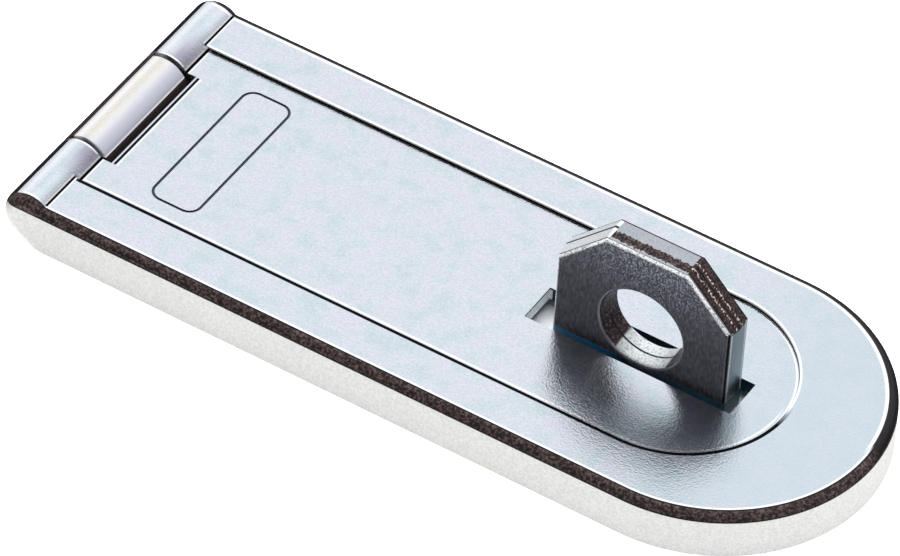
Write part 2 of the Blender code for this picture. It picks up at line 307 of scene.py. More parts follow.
def buildLeaf(d):
    top, sheet, half, radius = d["height"], d["sheet"], d["halfWidth"], d["knuckleRadius"]
    tipCentre = leafHigh.x - half
    innerHalf = half - sheet
    underTop = top - sheet
    panelHalf, panelCentre, panelTop = panelShape(d)
    startX = hinge.x + radius / 2

    body = newTongue("leaf", startX, tipCentre, half, 0.0, top)
    recess = newTongue("panel", startX - mm, panelCentre, panelHalf, panelTop, top + mm)
    roundOff(
        recess, d["stepFillet"], 3,
        lambda a, b: max(a.z, b.z) < panelTop + close and max(a.x, b.x) > startX,
    )
    combine(body, "DIFFERENCE", recess)
    combine(body, "UNION", buildKnuckleBar(d))  # after the recess, which leaves the knuckles round
    closeUp(body)

    def outside(p):
        return hypot(max(p.x - tipCentre, 0.0), p.y) > half - nearCurve

    def onRim(a, b):
        across = abs(a.y - b.y) > half
        upright = abs(a.z - b.z) > top / 2
        return outside(a) and outside(b) and max(a.z, b.z) > close and not (across or upright)

    roundOff(body, d["edgeRadius"], 10, onRim)
    cavity = newTongue("cavity", hinge.x + radius, tipCentre, innerHalf, -mm, underTop)
    roundOff(
        cavity, d["cornerRadius"], 5,
        lambda a, b: min(a.z, b.z) > underTop - close and max(a.x, b.x) > hinge.x + radius + close,
    )
    combine(body, "DIFFERENCE", cavity)
    hollow = newBox(
        "hollow", (leafLow.x - mm, -innerHalf, -mm), (hinge.x + radius + d["hollowEnd"], innerHalf, hinge.z)
    )
    knuckles = newBar("round", hinge.x, hinge.z, radius + d["hollowGap"], half + mm, 144)
    combine(hollow, "DIFFERENCE", knuckles)
    combine(body, "DIFFERENCE", hollow)
    below = newTongue(
        "panel underside", startX, panelCentre, panelHalf, panelTop - sheet, panelTop - sheet / 2
    )
    roundOff(
        below, d["undersideRound"], 4,
        lambda a, b: max(a.z, b.z) < panelTop - sheet + close and max(a.x, b.x) > startX + close,
    )
    combine(body, "UNION", below)
    print("leaf folded")

    notchX = hinge.x + d["notchReach"]
    reach = d["notchHalfWidth"]
    notch = newBox("notch", (leafLow.x - mm, -reach, -mm), (notchX, reach, hinge.z + radius + mm))
    combine(body, "DIFFERENCE", notch)
    slot = newBox(
        "slot", (d["slotStart"], -d["slotWidth"] / 2, -mm), (d["slotEnd"], d["slotWidth"] / 2, top + mm)
    )
    combine(body, "DIFFERENCE", slot)
    bore = newBar("bore", hinge.x, hinge.z, d["pinBore"], innerHalf + d["boreInWall"], 48)
    combine(body, "DIFFERENCE", bore)

    def onStep(a, b):
        if min(a.z, b.z) < top - close:
            return False
        reaches = [hypot(max(p.x - panelCentre, 0.0), p.y) for p in (a, b)]
        return max(abs(reach - panelHalf) for reach in reaches) < 2 * nearCurve

    roundOff(body, d["stepRound"], 4, onStep)
    roundOff(
        body, d["notchEase"], 3,
        lambda a, b: min(a.z, b.z) > panelTop - close and max(abs(a.x - notchX), abs(b.x - notchX)) < close,
    )
    addSeams(body, d)
    combine(body, "DIFFERENCE", newBorder(d, panelTop))
    print("panel, notch, slot and seams cut")
    return body


# The corner knuckles' round bar across the leaf, led down to the floor under its axis.
def buildKnuckleBar(d):
    half = d["halfWidth"]
    chinAngle = -90 - degrees(acos(d["knuckleRadius"] / hinge.z))  # where a line from the floor touches it
    bpy.ops.object.select_all(action="DESELECT")
    bpy.ops.mesh.primitive_circle_add(
        vertices=144, radius=d["knuckleRadius"], location=(hinge.x, -half, hinge.z), rotation=(pi / 2, 0, 0)
    )
    bar = bpy.context.object
    bar.name = "knuckle bar"
    bpy.ops.object.transform_apply(location=True, rotation=True, scale=True)

    slack = 0.5  # degrees, against the bar's steps of 2.5

    def turn(p):
        return degrees(atan2(p.z - hinge.z, p.x - hinge.x))

    pick(bar, "VERT", lambda p: chinAngle < turn(p) < -slack)
    bpy.ops.mesh.delete(type="VERT")
    pick(bar, "VERT", lambda p: abs(turn(p)) < slack)
    bpy.ops.mesh.extrude_vertices_move(TRANSFORM_OT_translate={"value": (0, 0, -hinge.z)})
    bpy.ops.object.mode_set(mode="OBJECT")
    ends = [v.co.copy() for v in bar.data.vertices if turn(v.co) < chinAngle + 1]
    chin = min(ends, key=lambda p: abs(turn(p) - chinAngle))
    pick(bar, "VERT", lambda p: (p - chin).length < close)
    bpy.ops.mesh.extrude_vertices_move(TRANSFORM_OT_translate={"value": (hinge.x - chin.x, 0, -chin.z)})
    pick(bar, "VERT", lambda p: p.z < close)
    bpy.ops.mesh.edge_face_add()
    bpy.ops.mesh.select_all(action="SELECT")
    bpy.ops.mesh.edge_face_add()
    bpy.ops.mesh.select_all(action="SELECT")
    bpy.ops.mesh.extrude_region_move(TRANSFORM_OT_translate={"value": (0, 2 * half, 0)})
    return closeUp(bar)


# The pressed fold lines where the corner knuckles meet the rim and the panel.
def addSeams(body, d):
    panelHalf, panelCentre, panelTop = panelShape(d)
    rimStart, panelEnd = panelHalf - 0.2 * mm, panelHalf - 0.3 * mm
    places = (
        (d["height"], rimStart, d["halfWidth"] - d["edgeRadius"], d["rimSeamRadius"]),
        (panelTop, d["notchHalfWidth"] - mm, panelEnd, d["panelSeamRadius"]),
    )
    for level, near, far, radius in places:
        for side in (-1, 1):
            seam = newBar("seam", seamAt(d, level), level, radius, (far - near) / 2, 12)
            focusOn(seam)
            bpy.ops.transform.translate(value=(0, side * (near + far) / 2, 0))
            bpy.ops.object.transform_apply(location=True)
            combine(body, "DIFFERENCE", seam)


# A plain pressed border with round corners, as a ring to be cut into the panel.
def newBorder(d, panelTop):
    rings = []
    for grow in (0.0, -d["borderLine"]):
        x, y = (size / 2 + grow for size in d["borderSize"])
        low, high = panelTop - d["borderDepth"], panelTop + mm
        if grow:
            low, high = low - mm, high + mm
        ring = newBox("border", (d["borderCentre"] - x, -y, low), (d["borderCentre"] + x, y, high))
        roundOff(ring, d["borderCorner"] + grow, 10, lambda a, b: abs(a.z - b.z) > d["borderDepth"])
        rings.append(ring)
    return combine(rings[0], "DIFFERENCE", rings[1])


# Colours of painted light and shade: a painted white highlight, a painted dark line of shade, and deep teal
# painted as shade in the slot.
paintedHighlight, paintedShade, tealShade = "#F8FBFD", "#100E12", "#123A45"

# Paints are as layZinc takes them, and spans as stripe does, with what lies inwards or below negative.
leafZinc = {
    "clouds": ((0.36, "#CFDCE2"), (0.5, "#D8E0E6"), (0.64, "#DCDFE9")),  # cool, pale and lilac
    "cloud": 3.2,  # mm across
    "grain": 0.3,  # mm, drawn coarser than the real crystals so that it shows
    "stretch": (1, 1, 1),
    "shade": 0.84,  # how dark the grain gets
    "roughness": (0.17, 0.25),
    "metallic": 1.0,
    "bump": (0.9, 0.03),  # strength, and depth in mm
    "glow": (paintedHighlight, 1.0, 0.2),
    "tip": ("#C4D1D8", 1.0, 0.2),
    "tipFade": (22 * mm, 48 * mm),
    "tipAmount": 0.7,
    "sideFade": 2 * mm,  # how far from the middle line the marks of the near and far side meet
    "speckle": 0.35,  # mm
    # the side wall and the rim's band: spans from the outline, heights from the rim's surface
    # the side wall's pale, less metallic paint is a painted reflection of the bright table
    "wall": (((0.36, "#DBE0E3"), (0.5, "#E4E8EA"), (0.64, "#EEEFEE")), 0.6, 0.4),
    "wallSpan": (-0.4, 1.0, 0.1),
    "wallHeight": (-9.0, -1.3, 0.05),
    # the band is a painted dark reflection on the rounded rim; the glows are painted highlights, the lines
    # painted shade
    "band": (((0.4, "#1D1617"), (0.5, "#3A2F2F"), (0.66, "#62524F")), 0.3, 0.5),
    "bandSpan": (-1.15, 1.0, 0.03),
    "bandHeight": (-1.3, 3.0, 0.03),
    "bandGlowSpan": (-1.45, -1.23, 0.1),
    "bandLine": (paintedShade, 0.5, 0.5),
    "bandLineSpan": (-1.19, -1.01, 0.03),
    "bandLineHeight": (-1.34, -1.16, 0.03),
    "farGlowSpan": (-1.85, -1.5, 0.08),
    "farLine": (paintedShade, 0.3, 0.5),
    "farLineSpan": (-1.38, -0.1, 0.05),
    # the knuckles' backs, a painted highlight and a painted line of shade: spans from the hinge, and how
    # far out they reach from the outline
    "back": ("#D3D8DC", 0.6, 0.35),
    "backSpan": (-1.9, -1.0, 0.9),
    "backLine": (paintedShade, 0.6, 0.35),
    "backLineSpan": (-4.0, -2.0, 0.12),
    "backReach": (-30.0, -1.15, 0.03),
    # the step round the panel, its painted highlights, lines of shade and pale lip: spans from its wall
    "edgeShadeLine": (paintedShade, 1.0, 0.5),
    "nearStepGlow": (-0.85, -0.62, 0.08),
    "nearStepLine": (0.0, 0.6, 0.04),
    "farStepGlow": (-0.4, -0.2, 0.08),
    "farStepLine": (-0.04, 0.03, 0.04),
    "lip": ("#EFF2F5", 0.5, 0.4),
    "lipSpan": (-0.1, 0.3, 0.05),
    "lipHeight": (0.36, 1.6, 0.04),  # from the panel
    # the knuckles beside the notch, painted shade and a painted highlight on their ends: reaches from the
    # notch's side
    "knuckleShade": ("#A7A6B6", 1.0, 0.24),
    "knuckleShadeSpan": (0.9, -0.1, 0.9),
    "knuckleShadeReach": (0.0, 1.5, 6.0),
    "endGlowReach": (0.04, 0.25, 0.06),
    # the fold lines beside the knuckles, painted shade in them and highlights beside them: spans from the
    # fold, reaches from the panel's side
    "seamShade": (paintedShade, 1.0, 0.6),
    "rimSeam": (-1.0, 0.15, 0.05),
    "rimSeamGlow": (0.15, 0.37, 0.08),
    "rimSeamReach": (0.0, -1.4, 0.02),
    "panelSeam": (-1.0, 0.2, 0.05),
    "panelSeamGlow": (0.2, 0.42, 0.08),
    "panelSeamReach": (-20.0, 0.0, 0.02),
    # the notch's eased edge, a painted line of shade and a painted highlight: spans from the notch, and how
    # far along it
    "creaseSpan": (0.28, 0.62, 0.05),
    "creaseGlowSpan": (0.74, 0.9, 0.08),
    "creaseReach": (-20.0, -0.1, 0.1),
    # the pressed border's floor, painted dark as shade, below the panel and about the border's middle
    "borderFloor": ("#4A5058", 1.0, 0.4),
    "borderHeight": (-0.01, -0.05, 0.01),
    "borderSpan": (-5.0, 5.0, 0.1),
    # the slot's walls, painted deep teal as shade and white at the hinge end as light: margins round the
    # slot, heights below the panel
    "slotMargin": (-0.02, 0.02, 0.01),
    "slotReach": (-10.0, 0.02, 0.01),
    "slotWall": (tealShade, 0.6, 0.4),
    "slotWallHeight": (-9.0, -0.03, 0.02),
    "slotEnd": ("#FFFFFF", 0.0, 0.5),
    "slotEndSpan": (-1.0, 0.3, 0.2),
    "slotLip": (tealShade, 0.4, 0.4),
    "slotLipHeight": (-0.3, -0.02, 0.02),
}


# Bright zinc plate on pressed steel: a satin metal with faint clouds and sparkling grain. A dark, speckled
# band of painted reflection lies on its rounded rim, its folds and edges hold painted lines of shade beside
# painted white highlights, its side wall and knuckles carry painted light, and the slot's cut walls are
# painted deep teal as shade and white at the hinge end as light.
def makeLeafZinc(f, d):
    material, tree, shader, place = newMaterial("satin zinc plate")
    spot = addNode(tree, "SeparateXYZ", {"Vector": place})
    x, y, z = spot.outputs["X"], spot.outputs["Y"], spot.outputs["Z"]
    side = addNode(tree, "Math", {0: y}, operation="ABSOLUTE")
    half, top, notchSide = d["halfWidth"], d["height"], d["notchHalfWidth"]
    panelHalf, panelCentre, panelTop = panelShape(d)
    rimX, panelX = seamAt(d, top), seamAt(d, panelTop)
    notchX = hinge.x + d["notchReach"]

    # how far out a point lies from the middle line, round the panel's end and round the leaf's
    reaches = []
    for centre in (panelCentre, leafHigh.x - half):
        past = addNode(tree, "Math", {0: x, 1: centre}, operation="SUBTRACT")
        ahead = addNode(tree, "Math", {0: past, 1: 0.0}, operation="MAXIMUM")
        flat = addNode(tree, "CombineXYZ", {"X": ahead, "Y": y})
        reaches.append(addNode(tree, "VectorMath", {0: flat}, operation="LENGTH").outputs["Value"])
    panelReach, leafReach = reaches
    onRim = addNode(tree, "Math", {0: x, 1: rimX - 0.05 * mm}, operation="GREATER_THAN")
    beforeRim = addNode(tree, "Math", {0: x, 1: rimX}, operation="LESS_THAN")
    raised = addNode(tree, "Math", {0: z, 1: hinge.z + mm}, operation="GREATER_THAN")
    onPanel = addNode(tree, "Math", {0: z, 1: panelTop - 0.02 * mm}, operation="GREATER_THAN")
    far = addNode(tree, "MapRange", {"Value": y, "From Max": f["sideFade"]})

    fadeStart, fadeEnd = f["tipFade"]
    towardsTip = {"Value": x, "From Min": fadeStart, "From Max": fadeEnd, "To Max": f["tipAmount"]}
    layers = [([addNode(tree, "MapRange", towardsTip)], f["tip"])]

    # the mottled side wall, painted pale as a reflection of the table, and above it the rim's band of
    # painted dark reflection, which goes on over the knuckles' closed ends
    speckle = addNode(tree, "TexNoise", {"Vector": place, "Scale": 1 / (f["speckle"] * mm), "Detail": 2.0})
    wall = [stripe(tree, leafReach, half, f["wallSpan"]), stripe(tree, z, top, f["wallHeight"])]
    layers.append((wall, f["wall"], speckle))
    outer = stripe(tree, leafReach, half, f["bandSpan"])
    upper = stripe(tree, z, top, f["bandHeight"])
    layers.append(([outer, upper], f["band"], speckle))
    # painted highlights and painted dark lines of shade beside the band and along the far edge
    layers.append(([stripe(tree, leafReach, half, f["bandGlowSpan"]), upper], f["glow"]))
    layers.append(([stripe(tree, leafReach, half, f["bandLineSpan"]), upper], f["bandLine"]))
    layers.append(([stripe(tree, z, top, f["bandLineHeight"]), outer], f["bandLine"]))
    layers.append(([stripe(tree, leafReach, half, f["farGlowSpan"]), upper, far], f["glow"]))
    layers.append(([stripe(tree, leafReach, half, f["farLineSpan"]), upper, far], f["farLine"]))

    # the knuckles' backs: a pale streak of painted highlight and a dark line of painted shade
    inner = stripe(tree, side, half, f["backReach"])
    layers.append(([stripe(tree, x, hinge.x, f["backSpan"]), raised, inner], f["back"]))
    layers.append(([stripe(tree, x, hinge.x, f["backLineSpan"]), raised, inner], f["backLine"]))

    # the step's painted highlights and lines of shade: its near line lies on the rim, because its wall is
    # hidden, and its far line on the wall
    for way, stepGlow, stepLine in (
        (-1, f["nearStepGlow"], f["nearStepLine"]),
        (1, f["farStepGlow"], f["farStepLine"]),
    ):
        edge = way * f["sideFade"]
        here = addNode(tree, "MapRange", {"Value": y, "From Min": -edge, "From Max": edge})
        layers.append(([stripe(tree, panelReach, panelHalf, stepGlow), here, onRim], f["glow"]))
        layers.append(([stripe(tree, panelReach, panelHalf, stepLine), here, onRim], f["edgeShadeLine"]))
    # a painted highlight on the upper part of the far step's wall
    lip = [stripe(tree, z, panelTop, f["lipHeight"]), stripe(tree, panelReach, panelHalf, f["lipSpan"])]
    layers.append(([*lip, far, onRim], f["lip"]))

    # painted shade darkens the knuckles towards the notch, and a painted highlight brightens their ends
    inwards = stripe(tree, side, notchSide, f["knuckleShadeReach"])
    layers.append(([stripe(tree, x, (hinge.x, rimX), f["knuckleShadeSpan"]), inwards], f["knuckleShade"]))
    layers.append(([stripe(tree, side, notchSide, f["endGlowReach"]), beforeRim], f["glow"]))

    # the fold lines beside the knuckles, on the rim and on the panel: painted shade in them, painted
    # highlights beside
    for name, seamX, level, ends in (
        ("rimSeam", rimX, top, (panelHalf, half)),
        ("panelSeam", panelX, panelTop, panelHalf),
    ):
        offset = addNode(tree, "VectorMath", {0: place, 1: (seamX, 0, level)}, operation="SUBTRACT")
        upright = addNode(tree, "VectorMath", {0: offset, 1: (1, 0, 1)}, operation="MULTIPLY")
        away = addNode(tree, "VectorMath", {0: upright}, operation="LENGTH").outputs["Value"]
        here = stripe(tree, side, ends, f[name + "Reach"])
        layers.append(([stripe(tree, away, 0.0, f[name + "Glow"]), here], f["glow"]))
        layers.append(([stripe(tree, away, 0.0, f[name]), here], f["seamShade"]))

    # the eased edge of the notch: a painted line of shade beside a painted highlight
    alongNotch = [onPanel, stripe(tree, side, notchSide, f["creaseReach"])]
    layers.append(([stripe(tree, x, notchX, f["creaseSpan"]), *alongNotch], f["edgeShadeLine"]))
    layers.append(([stripe(tree, x, notchX, f["creaseGlowSpan"]), *alongNotch], f["glow"]))

    # the pressed border's floor, painted dark as shade
    borderLevels = (panelTop - d["borderDepth"], panelTop)
    border = [
        stripe(tree, z, borderLevels, f["borderHeight"]),
        stripe(tree, x, d["borderCentre"], f["borderSpan"]),
    ]
    layers.append((border, f["borderFloor"]))

    # the slot's walls: painted white as light at the hinge end, deep teal painted as shade elsewhere and
    # all along under the upper edge
    within = [
        stripe(tree, x, (d["slotStart"], d["slotEnd"]), f["slotMargin"]),
        stripe(tree, side, d["slotWidth"] / 2, f["slotReach"]),
    ]
    slotWall = [*within, stripe(tree, z, panelTop, f["slotWallHeight"])]
    layers.append((slotWall, f["slotWall"]))
    layers.append(([*slotWall, stripe(tree, x, d["slotStart"], f["slotEndSpan"])], f["slotEnd"]))
    layers.append(([*within, stripe(tree, z, panelTop, f["slotLipHeight"])], f["slotLip"]))
    layZinc(tree, shader, place, f, layers)
    return material


staple = {
    "thickness": 4.3 * mm,
    "chamfer": 7.0 * mm,
    "hole": 12.0 * mm,
    "holeHeight": 12.9 * mm,
    "foot": 3.8 * mm,
    "breakTaper": 0.2 * mm,  # the front half of a punched edge draws in
    "frontEdge": 0.55 * mm,
    "rearEdge": 0.2 * mm,
    "tenonWidth": 6.0 * mm,
    "tenonSpacing": 13.0 * mm,
    "tenonFoot": 0.2 * mm,
}
stapleX = (stapleLow.x + stapleHigh.x) / 2


# A punched plate: the rear half of each cut edge is sheared clean, the front half is torn and draws in.
def buildStaple(d):
    side = d["thickness"] / 2
    x = stapleX
    half = (stapleHigh.x - stapleLow.x) / 2
    top, foot, taper = stapleHigh.z, d["foot"], d["breakTaper"]
    plate = newBox("staple", (x - half, -side, foot), (x + half, side, top))
    roundOff(plate, d["chamfer"], 1, lambda a, b: min(a.z, b.z) > top - close and abs(a.x - b.x) < close)
    narrowed = ((half - taper) / half, 1, (top - foot - taper) / (top - foot))
    drawInFront(plate, side, (x, 0, foot), narrowed)
    for place in (x - d["tenonSpacing"] / 2, x + d["tenonSpacing"] / 2):
        reach = d["tenonWidth"] / 2
        tenon = newBox("tenon", (place - reach, -side, d["tenonFoot"]), (place + reach, side, foot + mm))
        combine(plate, "UNION", tenon)
    hole = newBar("hole", x, d["holeHeight"], d["hole"] / 2, side + mm, 128)
    wider = 1 + taper * (1 + mm / side) / (d["hole"] / 2)
    drawInFront(hole, side + mm, (x, 0, d["holeHeight"]), (wider, 1, wider))
    combine(plate, "DIFFERENCE", hole)

    def onOutline(a, b, y):
        flat = abs(a.y - y) < close and abs(b.y - y) < close
        middle = (a + b) / 2
        reach = hypot(middle.x - x, middle.z - d["holeHeight"])
        onHole = reach < d["hole"] / 2 + taper + 0.2 * mm
        above = middle.z > foot + 0.1 * mm
        return flat and (onHole or above) and (a - b).length > close

    roundOff(plate, d["frontEdge"], 4, lambda a, b: onOutline(a, b, -side))
    roundOff(plate, d["rearEdge"], 3, lambda a, b: onOutline(a, b, side))
    print("staple punched")
    return plate


# Cuts a piece along its middle plane and scales its front end about a point.
def drawInFront(piece, side, centre, scale):
    pick(piece, "FACE", lambda c, n: True)
    bpy.ops.mesh.bisect(plane_co=(0, 0, 0), plane_no=(0, 1, 0), threshold=close)
    pick(piece, "VERT", lambda p: p.y < -side + close)
    bpy.ops.transform.resize(value=scale, center_override=centre)
    bpy.ops.object.mode_set(mode="OBJECT")


stapleZinc = {
    "clouds": ((0.36, "#B4BCC2"), (0.5, "#BCC0C6"), (0.64, "#BDBBC4")),
    "cloud": 3.5,
    "grain": 0.28,
    "stretch": (1, 1, 0.3),  # drawn upwards, as the plate was ground
    "shade": 0.72,
    "roughness": (0.2, 0.32),
    "metallic": 1.0,
    "bump": (0.6, 0.02),
    "fine": 0.3,  # mm across, the specks
    "coarse": 0.5,  # mm across, the torn edge's waver
    "waver": 0.2 * mm,
    "skin": 0.5 * mm,  # how deep the edges' marks reach
    # spans lie across the thickness, from its front, its middle or its back
    "front": (((0.36, "#84838C"), (0.5, "#95949E"), (0.64, "#A9AAB4")), 0.87, 0.35),
    # painted glints, lighter towards the front face's top
    "topGlints": ("#A3AFBB", 0.3, 0.5),
    "topGlintHeight": (15 * mm, 26 * mm),
    "topGlintSpecks": (0.5, 0.6),
    "end": ("#93A0A6", 1.0, 0.3),
    # painted highlights along the end face's front and rear edges
    "endLight": ("#CFD6D8", 0.6, 0.4),
    "endFrontSpan": (0.5, 0.7, 0.08),
    "endRearSpan": (-0.6, -0.35, 0.08),
    "torn": (((0.4, "#120D0E"), (0.52, "#30252A"), (0.7, "#6E5B55")), 0.4, 0.55),
    "tornSpan": (0.75, -0.15, 0.1),
    "edgeWhole": (0.5, -0.25, 0.05),
    # the left shoulder is painted pale as light, the right one brown as shade
    "left": ("#D2D8DB", 0.4, 0.35),
    "leftLineSpan": (0.25, 0.6, 0.05),
    "shadedShoulder": (((0.4, "#1C1415"), (0.5, "#33272A"), (0.62, "#4C3C3A")), 0.3, 0.55),
    "dots": ("#C9B9B0", 0.3, 0.5),
    "dotSpecks": (0.5, 0.58),
    "dotRows": ((-0.72, -0.48, 0.08), (0.48, 0.72, 0.08)),
    "rightLineSpan": (-0.1, 0.08, 0.03),
    "rightFrontSpan": (0.5, 0.64, 0.03),
    # painted dark lines of shade along the rear edges
    "rearSpan": (-0.3, 1.0, 0.03),
    # painted white highlights along the front edges
    "edgeHighlight": (((0.36, "#9AA3A6"), (0.48, "#E9EFEE"), (0.6, "#FFFFFF")), 0.25, 0.4),
    "edgeHighlightSpan": (0.06, 0.3, 0.05),
    "edgeHighlightSideSpan": (0.1, 0.3, 0.05),
    "line": ("#0B0909", 0.4, 0.5),
    "boreDepth": 0.3 * mm,  # how far round the hole the bore's marks reach
    "holeRim": 0.9 * mm,  # and how far the outline's marks stay from it
    # the bore's pale paint is painted light below, its dark paint painted shade at its sides
    "boreLight": (((0.36, "#A9B1B3"), (0.46, "#CCD3D3"), (0.6, "#DCE2E2")), 0.5, 0.35),
    "boreDark": (((0.42, "#262227"), (0.56, "#3D363C"), (0.7, "#8C6F6A")), 0.5, 0.45),
    "boreSides": ((-9.0, -3.6, 0.3), (4.2, 9.0, 0.3)),
    "splitSpan": (-0.12, 0.12, 0.05),
    # painted blue reflection and shade low on the staple, in the slot
    "blue": (
        (
            (0.0, "#9CD0D8"), (0.07, "#2E86B4"), (0.3, "#2279AC"), (0.42, "#16293A"), (0.62, "#2C4260"),
            (0.9, "#2A6478"), (1.0, "#1F4C58"),
        ),
        0.0, 0.4,
    ),
    "blueHeight": (-1.0, 6.5, 0.1),
}


# Zinc plate on a punched, hardened steel plate: a darker, brushed metal. The front half of its top is torn,
# brown and rough; one shoulder is rough and painted brown as shade, the other pale as light, its edges
# carry painted highlights and lines of shade, its bore painted light and shade, and painted blue reflection
# lies low in the slot.
def makeStapleZinc(f, d):
    material, tree, shader, place = newMaterial("zinc on hardened steel")
    spot = addNode(tree, "SeparateXYZ", {"Vector": place})
    x, y, z = spot.outputs["X"], spot.outputs["Y"], spot.outputs["Z"]
    front, back = -d["thickness"] / 2, d["thickness"] / 2
    shoulder, holeRadius, skin = stapleHigh.z - d["chamfer"], d["hole"] / 2, f["skin"]

    fine = addNode(tree, "TexNoise", {"Vector": place, "Scale": 1 / (f["fine"] * mm), "Detail": 2.0})
    drawn = addNode(tree, "VectorMath", {0: place, 1: f["stretch"]}, operation="MULTIPLY")
    streaks = addNode(tree, "TexNoise", {"Vector": drawn, "Scale": 1 / (f["fine"] * mm), "Detail": 2.0})
    coarse = addNode(tree, "TexNoise", {"Vector": place, "Scale": 1 / (f["coarse"] * mm), "Detail": 2.0})
    spread = {"Value": coarse, "From Min": noiseLow, "From Max": noiseHigh}
    waver = addNode(tree, "MapRange", {**spread, "To Min": -f["waver"], "To Max": f["waver"]})
    wavyY = addNode(tree, "Math", {0: y, 1: waver}, operation="ADD")

    holeCentre = (stapleX, 0, d["holeHeight"])
    fromHole = addNode(tree, "VectorMath", {0: place, 1: holeCentre}, operation="SUBTRACT")
    upright = addNode(tree, "VectorMath", {0: fromHole, 1: (1, 0, 1)}, operation="MULTIPLY")
    reach = addNode(tree, "VectorMath", {0: upright}, operation="LENGTH").outputs["Value"]
    inBore = addNode(tree, "Math", {0: reach, 1: holeRadius + f["boreDepth"]}, operation="LESS_THAN")
    outer = addNode(tree, "Math", {0: reach, 1: holeRadius + f["holeRim"]}, operation="GREATER_THAN")

    leftSlope = addNode(tree, "Math", {0: z, 1: x}, operation="SUBTRACT")
    rightSlope = addNode(tree, "Math", {0: z, 1: x}, operation="ADD")
    onTop, onLeft, onRight, onShoulders = (
        addNode(tree, "Math", {0: value, 1: limit}, operation="GREATER_THAN")
        for value, limit in (
            (z, stapleHigh.z - skin),
            (leftSlope, shoulder - stapleLow.x - skin),
            (rightSlope, shoulder + stapleHigh.x - skin),
            (z, shoulder - 0.2 * mm),
        )
    )
    onEnd = [
        addNode(tree, "Math", {0: x, 1: stapleHigh.x - skin}, operation="GREATER_THAN"),
        addNode(tree, "Math", {0: z, 1: shoulder}, operation="LESS_THAN"),
    ]
    onFront = addNode(tree, "Math", {0: y, 1: front + 0.05 * mm}, operation="LESS_THAN")
    leftEdge = addNode(tree, "Math", {0: x, 1: stapleLow.x + skin}, operation="LESS_THAN")

    # the brushed front, the end with painted highlights along its edges, and the cut edges: torn on top,
    # painted light on the left shoulder, and painted shade, brown with rows of dots, on the right one
    whole = stripe(tree, y, (front, back), f["edgeWhole"])
    layers = [
        ([onFront], f["front"], streaks),
        (onEnd, f["end"]),
        ([stripe(tree, wavyY, (front, 0.0), f["tornSpan"]), onTop, outer], f["torn"], fine),
        ([whole, onLeft], f["left"]),
        ([stripe(tree, y, 0.0, f["leftLineSpan"]), onLeft], f["line"]),
        ([whole, onRight], f["shadedShoulder"], fine),
        ([stripe(tree, y, front, f["endFrontSpan"]), *onEnd], f["endLight"]),
        ([stripe(tree, y, back, f["endRearSpan"]), *onEnd], f["endLight"]),
    ]
    dotStart, dotEnd = f["dotSpecks"]
    dots = addNode(tree, "MapRange", {"Value": fine, "From Min": dotStart, "From Max": dotEnd})
    for row in f["dotRows"]:
        layers.append(([stripe(tree, y, 0.0, row), dots, onRight], f["dots"]))
    # the break's line down the right shoulder, and a painted dark line of shade along its front
    layers.append(([stripe(tree, y, 0.0, f["rightLineSpan"]), onRight], f["line"]))
    layers.append(([stripe(tree, y, front, f["rightFrontSpan"]), onRight], f["line"]))
    # painted dark lines of shade along the rear edges
    rear = stripe(tree, y, back, f["rearSpan"])
    for there in (onTop, onRight, onLeft):
        layers.append(([rear, there], f["line"]))

    # painted glints lighten the front face towards its top, painted highlights lie along its outline, and a
    # painted dark line of shade runs along the end's front edge
    low, high = f["topGlintHeight"]
    height = addNode(tree, "MapRange", {"Value": z, "From Min": low, "From Max": high})
    glintStart, glintEnd = f["topGlintSpecks"]
    glinting = addNode(tree, "MapRange", {"Value": fine, "From Min": glintStart, "From Max": glintEnd})
    layers.append(([onFront, height, glinting], f["topGlints"]))
    layers.append(([stripe(tree, y, front, f["edgeHighlightSpan"]), outer, onShoulders], f["edgeHighlight"], fine))
    sideEdge = stripe(tree, y, front, f["edgeHighlightSideSpan"])
    layers.append(([sideEdge, *onEnd], f["line"]))
    layers.append(([sideEdge, outer, leftEdge], f["edgeHighlight"], fine))

    # the bore: painted light below, painted shade, dark and speckled, at its sides, with the break's line
    # round its middle
    layers.append(([inBore], f["boreLight"], fine))
    for boreSide in f["boreSides"]:
        layers.append(([inBore, stripe(tree, x, stapleX, boreSide)], f["boreDark"], fine))
    layers.append(([inBore, stripe(tree, y, 0.0, f["splitSpan"])], f["line"]))

    # painted blue reflection and shade low on the staple, in the slot
    along = addNode(tree, "MapRange", {"Value": x, "From Min": stapleLow.x, "From Max": stapleHigh.x})
    layers.append(([stripe(tree, z, 0.0, f["blueHeight"]), outer], f["blue"], along))
    layZinc(tree, shader, place, f, layers)
    return material


basePlate = {
    "thickness": 2.0 * mm,
    "knuckleWidth": 19.2 * mm,
    "rampRun": 5.0 * mm,
    "setback": 2.7 * mm,
    "rollTurn": 290.0,
    "edge": 0.25 * mm,
    "plateCorner": 1.0 * mm,
    "plateEdge": 0.2 * mm,
    "screwHole": 5.0 * mm,
    "screwHead": 9.2 * mm,
    "screwInset": 8.5 * mm,
    "screwFromSide": 7.5 * mm,
}


